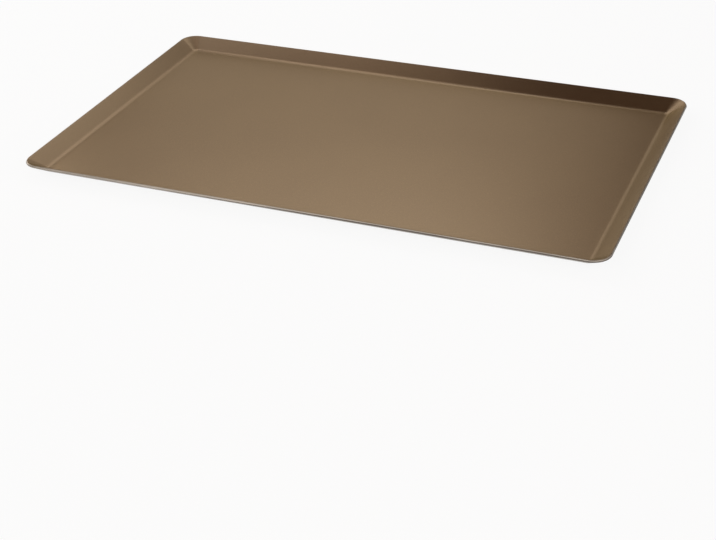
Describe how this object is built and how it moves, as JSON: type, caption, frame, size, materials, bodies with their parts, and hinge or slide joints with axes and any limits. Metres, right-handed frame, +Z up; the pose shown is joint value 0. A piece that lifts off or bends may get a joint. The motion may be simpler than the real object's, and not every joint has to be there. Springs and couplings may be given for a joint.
{
  "type": "cookie sheet",
  "caption": "Flat rectangular non-stick baking sheet with low flanges that lean outward on all sides, for baking cookies in an oven.",
  "frame": {"origin": "centre of the sheet's flat underside, on the surface that it rests on", "axes": "+X along the long side, +Y along the short side, +Z up out of the baking surface"},
  "size_m": [0.53, 0.325, 0.012],
  "materials": {
    "bare_metal": "satin, bare at the smoothed cut edge",
    "nonstick_coat": "satin bronze-brown baked non-stick coat with a fine metallic fleck",
    "outer_finish": "satin brown baked heat-proof coat"
  },
  "bodies": {
    "root": {"pressed_sheet": "bare_metal", "nonstick_lining": "nonstick_coat", "outer_coat": "outer_finish"}
  },
  "joints": []
}
